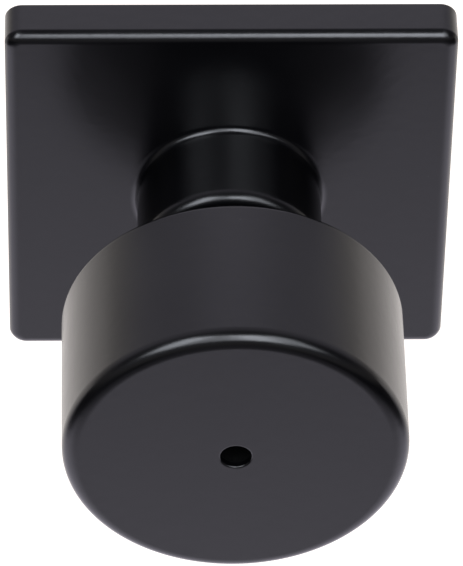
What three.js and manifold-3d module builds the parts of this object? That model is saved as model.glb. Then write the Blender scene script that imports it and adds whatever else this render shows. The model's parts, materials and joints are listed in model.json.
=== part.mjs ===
// Outside half of a privacy door knob set: a drum knob on a square rose with a raised round collar.
//
// Every piece is drawn in the knob's own frame: +z points out of the door, +y points up and the door's
// face is z = 0. The group at the end turns that frame so that +Z is up and the knob points along -Y.
// All lengths are in millimetres.

import * as THREE from 'three';
import { mergeVertices } from 'three/addons/utils/BufferGeometryUtils.js';
import Module from 'manifold-3d';

const wasm = await Module();
wasm.setup();

// Rose cover
const ROSE_SIDE = 66.7;
const ROSE_DEPTH = 6.7;
const ROSE_CORNER = 2.6;
const ROSE_EDGE = 1.65;
const ROSE_WALL = 1.5;
const COLLAR_RADIUS = 13.8;
const COLLAR_END = 21.0;
const COLLAR_EDGE = 2.1;
const COLLAR_ROOT = 1.2;
const COLLAR_MOUTH = 10.7;

// Drum knob
const DRUM_RADIUS = 25.15;
const DRUM_BACK = 33.0;
const DRUM_FACE = 59.6;
const DRUM_EDGE = 2.3;
const DRUM_BACK_EDGE = 0.8;
const SHELL_WALL = 1.0;
const RELEASE_HOLE = 2.3;
const CORE_BACK = 35.6;
const CORE_SLEEVE = 14.0;
const CORE_DISC = 21.5;
const CORE_EYE = 4.7;
const CORE_PIN_OUT = 42.5;
const CORE_PIN = 1.2;

// Neck, its bearings and the spindle that it drives
const NECK_RADIUS = 10.2;
const NECK_TAIL_RADIUS = 9.0;
const NECK_STEP = 2.9;
const NECK_END = -18.0;
const NECK_FRONT = 49.5;
const NECK_FLAT = 8.0;
const SOCKET_BORE = 7.0;
const GUIDE_BORE = 8.0;
const GUIDE_SHOULDER = 30.0;
const RING_SEAT = 7.6;
const RING_BACK = -17.2;
const RING_FRONT = -16.4;
const RING_RADIUS = 10.6;
const EAR_CIRCLE = 9.9;
const EAR_RADIUS = 1.5;
const EYE_RADIUS = 0.6;
const BEARING_BORE = 11.15;
const FRONT_BUSHING = [14.0, 18.2];
const REAR_BUSHING = [3.6, 7.8];
const SPINDLE_SIDE = 6.35;
const SPINDLE_WALL = 0.9;
const SPINDLE_END = -30.0;
const SPINDLE_START = -6.5;
const SPINDLE_CORNER = 0.6;
const SPINDLE_PIN = 1.0;
const SPINDLE_PIN_OUT = -11.5;

// Parts clamped to the door
const PLATE_SIDE = 60.0;
const PLATE_DEPTH = 1.8;
const PLATE_CORNER = 4.0;
const TAIL_HOLE = 9.25;
const POST_SPACING = 38.1;
const POST_RADIUS = 3.5;
const POST_TENON = 2.5;
const POST_HEAD = 3.7;
const POST_HOLE = 2.7;
const POST_END = -30.0;
const POST_BORE = 1.9;
const POST_BORE_END = -8.0;
const FLANGE_DEPTH = 1.2;
const FLANGE_HALF_HEIGHT = 21.0;
const CASE_SCREW_HEIGHT = 17.5;
const SCREW_RADIUS = 1.45;
const SCREW_HEAD = 2.8;
const SCREW_TIP = -2.8;
const SCREW_SLOT = 0.6;
const SCREW_HOLE = 1.7;
const CASE_RADIUS = 15.0;
const CASE_WALL = 1.0;
const CASE_END = -15.0;
const CLIP_RIVET_X = 26.0;
const CLIP_WIDTH = 12.0;
const CLIP_SHEET = 0.5;
const RIVET_RADIUS = 1.1;
const RIVET_HEAD = 2.0;
const RIVET_HOLE = 1.25;
const WAVE_SHEET = 0.3;
const WAVE_HEIGHT = 0.28;
const WAVE_RADIUS = 11.5;

// Return to level: cam, stops and spring
const TURN_LIMIT = THREE.MathUtils.degToRad(60);
const LUG_HALF_ANGLE = THREE.MathUtils.degToRad(10);
const STOP_CIRCLE = 12.6;
const STOP_RADIUS = 1.0;
const CAM_RADIUS = 11.2;
const CAM_LUG_RADIUS = 13.5;
const CAM_BACK = -3.4;
const CAM_FRONT = -1.6;
const COIL_RADIUS = 11.8;
const COIL_WIRE = 0.75;
const COIL_TURNS = 3.5;
const COIL_BACK = -12.2;
const COIL_FRONT = -6.3;
const COIL_BEND = 1.4;
const LEG_HOLE = 0.95;

// Emergency release
const ROD_RADIUS = 1.5;
const ROD_END = -29.6;
const ROD_FRONT = 44.0;
const HEAD_RADIUS = 2.45;
const HEAD_BACK = 41.5;
const HEAD_FRONT = 46.5;
const GUIDE_BACK = 28.0;
const GUIDE_FLOOR = 29.5;
const GUIDE_RADIUS = 4.4;
const GUIDE_WALL_INNER = 2.75;
const STOP_GROOVE = 1.1;
const STOP_BACK = 27.0;
const STOP_FRONT = 27.6;
const STOP_OUTER = 3.3;
const RELEASE_COIL_RADIUS = 2.2;
const RELEASE_WIRE = 0.3;
const RELEASE_TURNS = 8;

// Working gaps and the fineness of round surfaces
const GAP = 0.3;
const RUN = 0.15;
const BITE = 1.0;
const FINE = 48;
const MEDIUM = 24;
const COARSE = 12;
const WELD = 1e-4;
const UP = Math.PI / 2;

// Places of the repeated pieces. At the end of the turn the lug of the cam meets a stop pin.
const SCREW_PLACES = [[0, CASE_SCREW_HEIGHT], [0, -CASE_SCREW_HEIGHT]];
const POST_PLACES = [[-POST_SPACING / 2, 0], [POST_SPACING / 2, 0]];
const RIVET_PLACES = [[-CLIP_RIVET_X, 0], [CLIP_RIVET_X, 0]];
const STOP_CLEARANCE = THREE.MathUtils.degToRad(0.8);
const STOP_ANGLE = TURN_LIMIT + LUG_HALF_ANGLE + Math.asin(STOP_RADIUS / STOP_CIRCLE) + STOP_CLEARANCE;
const STOP_PLACES = [1, -1].map((side) => {
  const angle = UP + side * STOP_ANGLE;
  return [STOP_CIRCLE * Math.cos(angle), STOP_CIRCLE * Math.sin(angle)];
});

// ---------------------------------------------------------------------------------------------------
// Shapes
// ---------------------------------------------------------------------------------------------------

// Points of a round corner in a turned outline, about its centre, between two angles in degrees.
function arc(radius, out, size, from, to, steps = 5) {
  const points = [];
  for (let step = 0; step <= steps; step += 1) {
    const angle = THREE.MathUtils.degToRad(from + ((to - from) * step) / steps);
    points.push([radius + size * Math.cos(angle), out + size * Math.sin(angle)]);
  }
  return points;
}

// A solid turned about the z axis. The outline runs anticlockwise as [radius, out].
function turned(outline, sides = MEDIUM) {
  const points = outline.map(([radius, out]) => new THREE.Vector2(radius, out));
  const geometry = new THREE.LatheGeometry(points, sides);
  geometry.rotateX(Math.PI / 2);
  return geometry;
}

function rod(radius, back, front, sides = COARSE) {
  return turned([[0, back], [radius, back], [radius, front], [0, front]], sides);
}

function ring(inner, outer, back, front, sides = MEDIUM) {
  return turned([[inner, back], [outer, back], [outer, front], [inner, front], [inner, back]], sides);
}

function block(width, height, back, front) {
  const geometry = new THREE.BoxGeometry(width, height, front - back);
  geometry.translate(0, 0, (front + back) / 2);
  return geometry;
}

// A rod that lies along x, from one distance to another.
function crossRod(radius, from, to, out, sides = COARSE) {
  const geometry = rod(radius, from, to, sides);
  geometry.rotateY(Math.PI / 2);
  geometry.translate(0, 0, out);
  return geometry;
}

function roundedSquare(side, corner) {
  const half = side / 2;
  const flat = half - corner;
  const shape = new THREE.Shape();
  shape.moveTo(half, -flat);
  shape.lineTo(half, flat);
  shape.absarc(flat, flat, corner, 0, UP, false);
  shape.lineTo(-flat, half);
  shape.absarc(-flat, flat, corner, UP, 2 * UP, false);
  shape.lineTo(-half, -flat);
  shape.absarc(-flat, -flat, corner, 2 * UP, 3 * UP, false);
  shape.lineTo(flat, -half);
  shape.absarc(flat, -flat, corner, 3 * UP, 4 * UP, false);
  return shape;
}

// An upright outline with straight sides and round ends.
function stadium(halfWidth, halfHeight) {
  const flat = halfHeight - halfWidth;
  const shape = new THREE.Shape();
  shape.moveTo(halfWidth, -flat);
  shape.lineTo(halfWidth, flat);
  shape.absarc(0, flat, halfWidth, 0, 2 * UP, false);
  shape.lineTo(-halfWidth, -flat);
  shape.absarc(0, -flat, halfWidth, 2 * UP, 4 * UP, false);
  return shape;
}

function extruded(shape, back, front, curveSegments = 12) {
  const options = { depth: front - back, bevelEnabled: false, curveSegments };
  const geometry = new THREE.ExtrudeGeometry(shape, options);
  geometry.translate(0, 0, back);
  return geometry;
}

function circle(radius) {
  const shape = new THREE.Shape();
  shape.absarc(0, 0, radius, 0, 4 * UP, false);
  return shape;
}

// A bent wire that takes exactly the points it is given.
class WirePath extends THREE.Curve {
  constructor(points) {
    super();
    this.points = points;
  }

  getPoint(t, target = new THREE.Vector3()) {
    const place = t * (this.points.length - 1);
    const first = Math.min(Math.floor(place), this.points.length - 2);
    return target.lerpVectors(this.points[first], this.points[first + 1], place - first);
  }

  getUtoTmapping(u) {
    return u;
  }
}

function wire(points, radius, sides) {
  const options = {
    steps: points.length - 1,
    bevelEnabled: false,
    curveSegments: sides,
    extrudePath: new WirePath(points),
  };
  return new THREE.ExtrudeGeometry(circle(radius), options);
}

function onCircle(radius, angle, out) {
  return new THREE.Vector3(radius * Math.cos(angle), radius * Math.sin(angle), out);
}

// ---------------------------------------------------------------------------------------------------
// Joins and cuts
// ---------------------------------------------------------------------------------------------------

function solid(geometry) {
  geometry.deleteAttribute('normal');
  geometry.deleteAttribute('uv');
  const merged = mergeVertices(geometry, WELD);
  const corners = merged.index.array;
  const triangles = [];
  for (let first = 0; first < corners.length; first += 3) {
    const [a, b, c] = corners.slice(first, first + 3);
    if (a !== b && b !== c && c !== a) {
      triangles.push(a, b, c);
    }
  }
  const vertProperties = new Float32Array(merged.attributes.position.array);
  const triVerts = new Uint32Array(triangles);
  return new wasm.Manifold(new wasm.Mesh({ numProp: 3, vertProperties, triVerts }));
}

function joined(first, ...others) {
  return others.reduce((whole, other) => whole.add(solid(other)), solid(first));
}

function cut(whole, ...tools) {
  return tools.reduce((rest, tool) => rest.subtract(solid(tool)), whole);
}

function geometryOf(whole) {
  const { vertProperties, triVerts } = whole.getMesh();
  const geometry = new THREE.BufferGeometry();
  geometry.setAttribute('position', new THREE.BufferAttribute(new Float32Array(vertProperties), 3));
  geometry.setIndex(new THREE.BufferAttribute(new Uint32Array(triVerts), 1));
  geometry.computeVertexNormals();
  return geometry;
}

// The same rod at several places, as tools for a row of holes.
function holes(radius, back, front, places, sides = COARSE) {
  return places.map(([x, y]) => rod(radius, back, front, sides).translate(x, y, 0));
}

// ---------------------------------------------------------------------------------------------------
// Rose and the parts clamped to the door
// ---------------------------------------------------------------------------------------------------

// Square cover with soft edges, its raised round collar drawn from the same sheet, and an inward lip.
function roseCover() {
  const options = {
    depth: 2 * (ROSE_DEPTH - ROSE_EDGE),
    bevelEnabled: true,
    bevelThickness: ROSE_EDGE,
    bevelSize: ROSE_EDGE,
    bevelOffset: -ROSE_EDGE,
    bevelSegments: 4,
    curveSegments: 4,
  };
  const slab = new THREE.ExtrudeGeometry(roundedSquare(ROSE_SIDE, ROSE_CORNER), options);
  slab.translate(0, 0, ROSE_EDGE - ROSE_DEPTH);
  const collar = turned([
    [0, ROSE_DEPTH - BITE],
    [COLLAR_RADIUS + COLLAR_ROOT, ROSE_DEPTH - BITE],
    ...arc(COLLAR_RADIUS + COLLAR_ROOT, ROSE_DEPTH + COLLAR_ROOT, COLLAR_ROOT, 270, 180, 3),
    ...arc(COLLAR_RADIUS - COLLAR_EDGE, COLLAR_END - COLLAR_EDGE, COLLAR_EDGE, 0, 90, 3),
    [0, COLLAR_END],
  ], FINE);
  const hollow = roundedSquare(ROSE_SIDE - 2 * ROSE_WALL, ROSE_CORNER - ROSE_WALL);
  return cut(
    joined(slab, collar),
    block(2 * ROSE_SIDE, 2 * ROSE_SIDE, -2 * ROSE_DEPTH, 0),
    extruded(hollow, -BITE, ROSE_DEPTH - ROSE_WALL, 4),
    rod(COLLAR_RADIUS - ROSE_WALL, 0, COLLAR_END - ROSE_WALL, FINE),
    rod(COLLAR_MOUTH, 0, COLLAR_END + BITE, FINE),
  );
}

function mountingPlate() {
  return cut(
    solid(extruded(roundedSquare(PLATE_SIDE, PLATE_CORNER), 0, PLATE_DEPTH, 5)),
    rod(TAIL_HOLE, -BITE, PLATE_DEPTH + BITE, MEDIUM),
    ...holes(POST_HOLE, -BITE, PLATE_DEPTH + BITE, POST_PLACES),
    ...holes(SCREW_HOLE, -BITE, PLATE_DEPTH + BITE, SCREW_PLACES),
    ...holes(STOP_RADIUS + RUN, -BITE, PLATE_DEPTH + BITE, STOP_PLACES),
    ...holes(RIVET_HOLE, -BITE, PLATE_DEPTH + BITE, RIVET_PLACES),
  );
}

// Flanged tube that carries the two bushings of the neck inside the collar.
function bearingTube() {
  const back = PLATE_DEPTH + GAP;
  const flangeFront = back + FLANGE_DEPTH;
  const front = COLLAR_END - ROSE_WALL - 0.5;
  return cut(
    joined(
      extruded(stadium(CASE_RADIUS - 0.5, FLANGE_HALF_HEIGHT), back, flangeFront),
      rod(COLLAR_RADIUS - ROSE_WALL - 0.35, flangeFront - 0.5, front, FINE),
    ),
    rod(BEARING_BORE, 0, front + BITE, FINE),
    ...holes(SCREW_HOLE, 0, front, SCREW_PLACES),
  );
}

function bushing([back, front]) {
  return ring(NECK_RADIUS + RUN, BEARING_BORE - RUN, back, front, FINE);
}

// Threaded post for a through-bolt, staked in the plate by a turned-over head.
function mountingPost() {
  const headBack = PLATE_DEPTH + GAP;
  return turned([
    [0, POST_BORE_END],
    [POST_BORE, POST_BORE_END],
    [POST_BORE, POST_END + 0.5],
    [POST_BORE + 0.5, POST_END],
    [POST_RADIUS - 0.4, POST_END],
    [POST_RADIUS, POST_END + 0.4],
    [POST_RADIUS, -GAP],
    [POST_TENON, -GAP],
    [POST_TENON, headBack],
    [POST_HEAD, headBack],
    [POST_HEAD, headBack + 0.7],
    [POST_HEAD - 0.5, headBack + 1.1],
    [0, headBack + 1.1],
  ], COARSE);
}

// Cup behind the plate that holds the return spring; its ears take the two case screws.
function springCase() {
  const ears = -GAP;
  return cut(
    joined(
      extruded(stadium(CASE_RADIUS, FLANGE_HALF_HEIGHT), ears - FLANGE_DEPTH, ears),
      turned([
        [0, CASE_END],
        [CASE_RADIUS - 0.8, CASE_END],
        [CASE_RADIUS, CASE_END + 0.8],
        [CASE_RADIUS, ears],
        [0, ears],
      ], FINE),
    ),
    rod(CASE_RADIUS - CASE_WALL, CASE_END + CASE_WALL, BITE, FINE),
    rod(TAIL_HOLE, CASE_END - BITE, BITE, MEDIUM),
    ...holes(LEG_HOLE, CASE_END - BITE, CASE_END + 2 * BITE, [[0, -COIL_RADIUS]]),
    ...holes(SCREW_HOLE, ears - 2 * BITE, BITE, SCREW_PLACES),
  );
}

// Pan-head screw with a cross recess; it clamps the tube, the plate and the case together.
function caseScrew() {
  const under = PLATE_DEPTH + GAP + FLANGE_DEPTH + 0.2;
  const top = ROSE_DEPTH - ROSE_WALL - GAP;
  return cut(
    solid(turned([
      [0, SCREW_TIP],
      [SCREW_RADIUS - 0.35, SCREW_TIP],
      [SCREW_RADIUS, SCREW_TIP + 0.4],
      [SCREW_RADIUS, under],
      [SCREW_HEAD, under],
      [SCREW_HEAD, top - 0.5],
      [SCREW_HEAD - 0.6, top],
      [0, top],
    ])),
    block(SCREW_HEAD, SCREW_SLOT, top - 0.7, top + BITE),
    block(SCREW_SLOT, SCREW_HEAD, top - 0.7, top + BITE),
  );
}

function stopPin() {
  const nose = 0.2;
  const back = CAM_BACK - 0.4;
  return turned([
    [0, back],
    [STOP_RADIUS - nose, back],
    [STOP_RADIUS, back + nose],
    [STOP_RADIUS, PLATE_DEPTH - nose],
    [0, PLATE_DEPTH - nose],
  ], COARSE);
}

// Leaf of spring steel: a foot riveted on the plate and an arm that grips the inside of the rose.
function coverClip() {
  const sheet = CLIP_SHEET;
  const foot = PLATE_DEPTH + GAP;
  const wall = ROSE_SIDE / 2 - ROSE_WALL;
  const top = ROSE_DEPTH - ROSE_WALL - 0.4;
  const leaf = new THREE.Shape();
  leaf.moveTo(CLIP_RIVET_X - 3, foot);
  leaf.lineTo(wall - 1.6, foot);
  leaf.lineTo(wall - 0.25, foot + 1.3);
  leaf.lineTo(wall - 0.9, top);
  leaf.lineTo(wall - 0.9 - sheet, top);
  leaf.lineTo(wall - 0.25 - 1.2 * sheet, foot + 1.3);
  leaf.lineTo(wall - 1.6 - 0.4 * sheet, foot + sheet);
  leaf.lineTo(CLIP_RIVET_X - 3, foot + sheet);
  const strip = new THREE.ExtrudeGeometry(leaf, { depth: CLIP_WIDTH, bevelEnabled: false });
  strip.rotateX(Math.PI / 2);
  strip.translate(0, CLIP_WIDTH / 2, 0);
  return cut(solid(strip), ...holes(RIVET_HOLE, 0, ROSE_DEPTH, [[CLIP_RIVET_X, 0]]));
}

function clipRivet() {
  const head = PLATE_DEPTH + GAP + CLIP_SHEET + RUN;
  const back = 0.1;
  const dome = 0.8;
  return turned([
    [0, back],
    [RIVET_RADIUS, back],
    [RIVET_RADIUS, head],
    [RIVET_HEAD, head],
    ...arc(RIVET_HEAD - dome, head, dome, 0, 90, 3),
    [0, head + dome],
  ], COARSE);
}

function thrustWasher() {
  return ring(NECK_TAIL_RADIUS + 0.2, BEARING_BORE - 0.25, PLATE_DEPTH + 0.25, NECK_STEP - 0.25);
}

// Thin washer pressed into three waves, which takes up the end play of the neck.
function waveWasher() {
  const middle = CASE_END - 0.65;
  const half = WAVE_SHEET / 2;
  const geometry = ring(NECK_TAIL_RADIUS + 0.2, WAVE_RADIUS, middle - half, middle + half);
  const points = geometry.attributes.position;
  for (let index = 0; index < points.count; index += 1) {
    const angle = Math.atan2(points.getY(index), points.getX(index));
    points.setZ(index, points.getZ(index) + WAVE_HEIGHT * Math.cos(3 * angle));
  }
  return geometry;
}

// ---------------------------------------------------------------------------------------------------
// Knob
// ---------------------------------------------------------------------------------------------------

// Thin drum: side wall and flat face in one piece, with the release hole in the middle of the face.
function knobShell() {
  const inner = DRUM_RADIUS - SHELL_WALL;
  const behind = DRUM_FACE - SHELL_WALL;
  const innerEdge = DRUM_EDGE - SHELL_WALL;
  const lip = 0.15;
  return turned([
    [RELEASE_HOLE, behind],
    ...arc(inner - innerEdge, behind - innerEdge, innerEdge, 90, 0, 2),
    [inner, DRUM_BACK],
    ...arc(DRUM_RADIUS - DRUM_BACK_EDGE, DRUM_BACK + DRUM_BACK_EDGE, DRUM_BACK_EDGE, 270, 360, 2),
    ...arc(DRUM_RADIUS - DRUM_EDGE, DRUM_FACE - DRUM_EDGE, DRUM_EDGE, 0, 90, 5),
    [RELEASE_HOLE + lip, DRUM_FACE],
    [RELEASE_HOLE, DRUM_FACE - lip],
    [RELEASE_HOLE, behind],
  ], FINE);
}

function knobBack() {
  const edge = 0.3;
  const back = DRUM_BACK + 0.2;
  const rim = DRUM_RADIUS - SHELL_WALL - 0.2;
  return turned([
    [NECK_RADIUS + 0.3, back],
    [rim - edge, back],
    [rim, back + edge],
    [rim, back + 1.7],
    [NECK_RADIUS + 0.3, back + 1.7],
    [NECK_RADIUS + 0.3, back],
  ], FINE);
}

// Cast hub inside the drum: a sleeve on the neck that opens into a disc behind the face.
function knobCore() {
  const front = DRUM_FACE - SHELL_WALL - GAP;
  const body = turned([
    [NECK_RADIUS + 0.2, CORE_BACK],
    [CORE_SLEEVE, CORE_BACK],
    [CORE_SLEEVE, NECK_FRONT - 1],
    [CORE_DISC, front - 2.2],
    [CORE_DISC, front],
    [CORE_EYE, front],
    [CORE_EYE, NECK_FRONT + GAP],
    [NECK_RADIUS + 0.2, NECK_FRONT + GAP],
    [NECK_RADIUS + 0.2, CORE_BACK],
  ], FINE);
  return cut(solid(body), crossRod(CORE_PIN + RUN, -20, 20, CORE_PIN_OUT));
}

function knobNeck() {
  const flat = 2 * NECK_TAIL_RADIUS;
  const flatTop = CAM_FRONT + 0.2;
  const barrel = turned([
    [SOCKET_BORE, NECK_END],
    [NECK_TAIL_RADIUS - 0.3, NECK_END],
    [NECK_TAIL_RADIUS, NECK_END + 0.3],
    [NECK_TAIL_RADIUS, RING_BACK - 0.15],
    [RING_SEAT, RING_BACK - 0.15],
    [RING_SEAT, RING_FRONT + 0.1],
    [NECK_TAIL_RADIUS, RING_FRONT + 0.1],
    [NECK_TAIL_RADIUS, NECK_STEP],
    [NECK_RADIUS, NECK_STEP],
    [NECK_RADIUS, NECK_FRONT],
    [GUIDE_BORE, NECK_FRONT],
    [GUIDE_BORE, GUIDE_SHOULDER],
    [SOCKET_BORE, GUIDE_SHOULDER],
    [SOCKET_BORE, NECK_END],
  ], FINE);
  const flats = [1, -1].map((side) => {
    const tool = block(flat, 3 * flat, NECK_END - BITE, flatTop);
    return tool.translate(side * (NECK_FLAT + flat / 2), 0, 0);
  });
  return cut(
    solid(barrel),
    ...flats,
    crossRod(CORE_PIN + RUN, -20, 20, CORE_PIN_OUT),
    crossRod(SPINDLE_PIN + RUN, 0, 20, SPINDLE_PIN_OUT),
  );
}

function corePin() {
  return crossRod(CORE_PIN, GUIDE_BORE + 0.3, CORE_SLEEVE - 0.2, CORE_PIN_OUT);
}

// Disc on the two flats of the neck. Its lug meets the stop pins and holds one leg of the spring.
function driveCam() {
  const lug = new THREE.Shape();
  lug.absarc(0, 0, CAM_LUG_RADIUS, UP - LUG_HALF_ANGLE, UP + LUG_HALF_ANGLE, false);
  lug.lineTo(0, 0);
  const play = 0.15;
  const keyed = solid(rod(NECK_TAIL_RADIUS + play, CAM_BACK - BITE, CAM_FRONT + BITE, MEDIUM));
  const slot = solid(block(2 * (NECK_FLAT + play), 30, CAM_BACK - BITE, CAM_FRONT + BITE));
  const disc = joined(
    rod(CAM_RADIUS, CAM_BACK, CAM_FRONT, FINE),
    extruded(lug, CAM_BACK, CAM_FRONT, 4),
  );
  return cut(
    disc.subtract(keyed.intersect(slot)),
    ...holes(LEG_HOLE, CAM_BACK - BITE, CAM_FRONT + BITE, [[0, COIL_RADIUS]]),
  );
}

// Snap ring in the neck's groove, open at the bottom, with an eye at each end.
function retainingRing() {
  const inner = RING_SEAT + 0.15;
  const opening = THREE.MathUtils.degToRad(22);
  const start = -UP + opening;
  const end = 3 * UP - opening;
  const shape = new THREE.Shape();
  shape.absarc(0, 0, RING_RADIUS, start, end, false);
  shape.absarc(0, 0, inner, end, start, true);
  const places = [start, end].map((angle) => [EAR_CIRCLE * Math.cos(angle), EAR_CIRCLE * Math.sin(angle)]);
  const ears = places.map(([x, y]) => rod(EAR_RADIUS, RING_BACK, RING_FRONT).translate(x, y, 0));
  return cut(
    joined(extruded(shape, RING_BACK, RING_FRONT, MEDIUM), ...ears),
    ...holes(EYE_RADIUS, RING_BACK - BITE, RING_FRONT + BITE, places),
  );
}

// Plug pressed into the end of the neck, with the square hole that the spindle sits in.
function spindleSocket() {
  const hole = SPINDLE_SIDE + 2 * RUN;
  return cut(
    solid(rod(SOCKET_BORE - RUN, NECK_END + 0.4, SPINDLE_START + 0.5, MEDIUM)),
    block(hole, hole, NECK_END - BITE, SPINDLE_START + 2 * BITE),
    crossRod(SPINDLE_PIN + RUN, 0, 20, SPINDLE_PIN_OUT),
  );
}

function spindle() {
  const hollow = SPINDLE_SIDE - 2 * SPINDLE_WALL;
  return cut(
    solid(extruded(roundedSquare(SPINDLE_SIDE, SPINDLE_CORNER), SPINDLE_END, SPINDLE_START, 3)),
    block(hollow, hollow, SPINDLE_END - BITE, SPINDLE_START + BITE),
    crossRod(SPINDLE_PIN + RUN, 0, 20, SPINDLE_PIN_OUT),
  );
}

function spindlePin() {
  const inside = SPINDLE_SIDE / 2 - SPINDLE_WALL;
  return crossRod(SPINDLE_PIN, inside + 0.1, NECK_FLAT - 0.1, SPINDLE_PIN_OUT);
}

// Torsion spring: one leg in the case, three and a half turns, the other leg in the cam's lug.
function returnSpring() {
  const perTurn = 16;
  const bendSteps = 3;
  const bendAngle = COIL_BEND / COIL_RADIUS;
  const points = [onCircle(COIL_RADIUS, -UP, CASE_END + 0.3)];
  for (let step = 0; step < bendSteps; step += 1) {
    const angle = (UP * step) / bendSteps;
    const swing = bendAngle * (1 - Math.cos(angle));
    points.push(onCircle(COIL_RADIUS, swing - UP, COIL_BACK - COIL_BEND * (1 - Math.sin(angle))));
  }
  const sweep = COIL_TURNS * 4 * UP - 2 * bendAngle;
  const steps = Math.round(COIL_TURNS * perTurn);
  for (let step = 0; step <= steps; step += 1) {
    const part = step / steps;
    const out = COIL_BACK + (COIL_FRONT - COIL_BACK) * part;
    points.push(onCircle(COIL_RADIUS, bendAngle - UP + sweep * part, out));
  }
  for (let step = bendSteps - 1; step >= 0; step -= 1) {
    const angle = (UP * step) / bendSteps;
    const swing = bendAngle * (1 - Math.cos(angle));
    points.push(onCircle(COIL_RADIUS, UP - swing, COIL_FRONT + COIL_BEND * (1 - Math.sin(angle))));
  }
  points.push(onCircle(COIL_RADIUS, UP, CAM_FRONT - 0.3));
  return wire(points, COIL_WIRE, 3);
}

// ---------------------------------------------------------------------------------------------------
// Emergency release
// ---------------------------------------------------------------------------------------------------

// Plastic tube behind the hole: it guides the head of the rod and seats the release spring.
function releaseGuide() {
  const tube = GUIDE_RADIUS;
  const flange = GUIDE_BORE - 0.2;
  const flangeBack = GUIDE_SHOULDER + GAP;
  const front = DRUM_FACE - SHELL_WALL - GAP;
  return turned([
    [ROD_RADIUS + 0.25, GUIDE_BACK],
    [tube, GUIDE_BACK],
    [tube, flangeBack],
    [flange, flangeBack],
    [flange, flangeBack + 2],
    [tube, flangeBack + 2],
    [tube, front],
    [GUIDE_WALL_INNER, front],
    [GUIDE_WALL_INNER, GUIDE_FLOOR],
    [ROD_RADIUS + 0.25, GUIDE_FLOOR],
    [ROD_RADIUS + 0.25, GUIDE_BACK],
  ]);
}

function releaseRod() {
  return turned([
    [0, ROD_END],
    [ROD_RADIUS - 0.4, ROD_END],
    [ROD_RADIUS, ROD_END + 0.4],
    [ROD_RADIUS, STOP_BACK - 0.1],
    [STOP_GROOVE, STOP_BACK - 0.1],
    [STOP_GROOVE, STOP_FRONT + 0.1],
    [ROD_RADIUS, STOP_FRONT + 0.1],
    [ROD_RADIUS, ROD_FRONT],
    [0, ROD_FRONT],
  ], COARSE);
}

// Cap on the front of the rod, with a hollow that centres the tip of the release tool.
function releaseHead() {
  return turned([
    [0, ROD_FRONT + 0.2],
    [ROD_RADIUS + RUN, ROD_FRONT + 0.2],
    [ROD_RADIUS + RUN, HEAD_BACK],
    [HEAD_RADIUS, HEAD_BACK],
    [HEAD_RADIUS, HEAD_FRONT - 0.3],
    [HEAD_RADIUS - 0.3, HEAD_FRONT],
    [1.6, HEAD_FRONT],
    [0, HEAD_FRONT - 0.9],
  ], COARSE);
}

// Open clip in the rod's groove, which keeps the rod from leaving the guide.
function releaseStop() {
  const inner = STOP_GROOVE + 0.12;
  const opening = THREE.MathUtils.degToRad(35);
  const shape = new THREE.Shape();
  shape.absarc(0, 0, STOP_OUTER, -UP + opening, 3 * UP - opening, false);
  shape.absarc(0, 0, inner, 3 * UP - opening, -UP + opening, true);
  return extruded(shape, STOP_BACK, STOP_FRONT, 18);
}

function releaseSpring() {
  const perTurn = 10;
  const back = GUIDE_FLOOR + GAP;
  const front = HEAD_BACK - GAP;
  const points = [];
  const steps = RELEASE_TURNS * perTurn;
  const travel = front - back - 2 * RELEASE_WIRE;
  for (let step = 0; step <= steps; step += 1) {
    const part = step / steps;
    const turns = RELEASE_TURNS * part;
    const eased = part - Math.sin(4 * UP * part) / 14;
    points.push(onCircle(RELEASE_COIL_RADIUS, 4 * UP * turns, back + RELEASE_WIRE + travel * eased));
  }
  return wire(points, RELEASE_WIRE, 2);
}

// ---------------------------------------------------------------------------------------------------
// Assembly
// ---------------------------------------------------------------------------------------------------

const FINISHES = {
  satinBlack: { color: 0x161617, roughness: 0.45, metalness: 0.0 },
  zincPlate: { color: 0xb9bcc0, roughness: 0.4, metalness: 1.0 },
  brightSteel: { color: 0xc8cacd, roughness: 0.3, metalness: 1.0 },
  springSteel: { color: 0x8f9296, roughness: 0.35, metalness: 1.0 },
  castZinc: { color: 0x9a9da1, roughness: 0.55, metalness: 1.0 },
  bronze: { color: 0xb08a4f, roughness: 0.4, metalness: 1.0 },
  blackPlastic: { color: 0x202124, roughness: 0.6, metalness: 0.0 },
};

function part(name, shape, finish) {
  const geometry = shape.isBufferGeometry ? shape : geometryOf(shape);
  const mesh = new THREE.Mesh(geometry, new THREE.MeshStandardMaterial(FINISHES[finish]));
  mesh.name = name;
  return mesh;
}

function placed(mesh, x, y, turn = 0) {
  mesh.position.set(x, y, 0);
  mesh.rotation.z = turn;
  return mesh;
}

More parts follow.
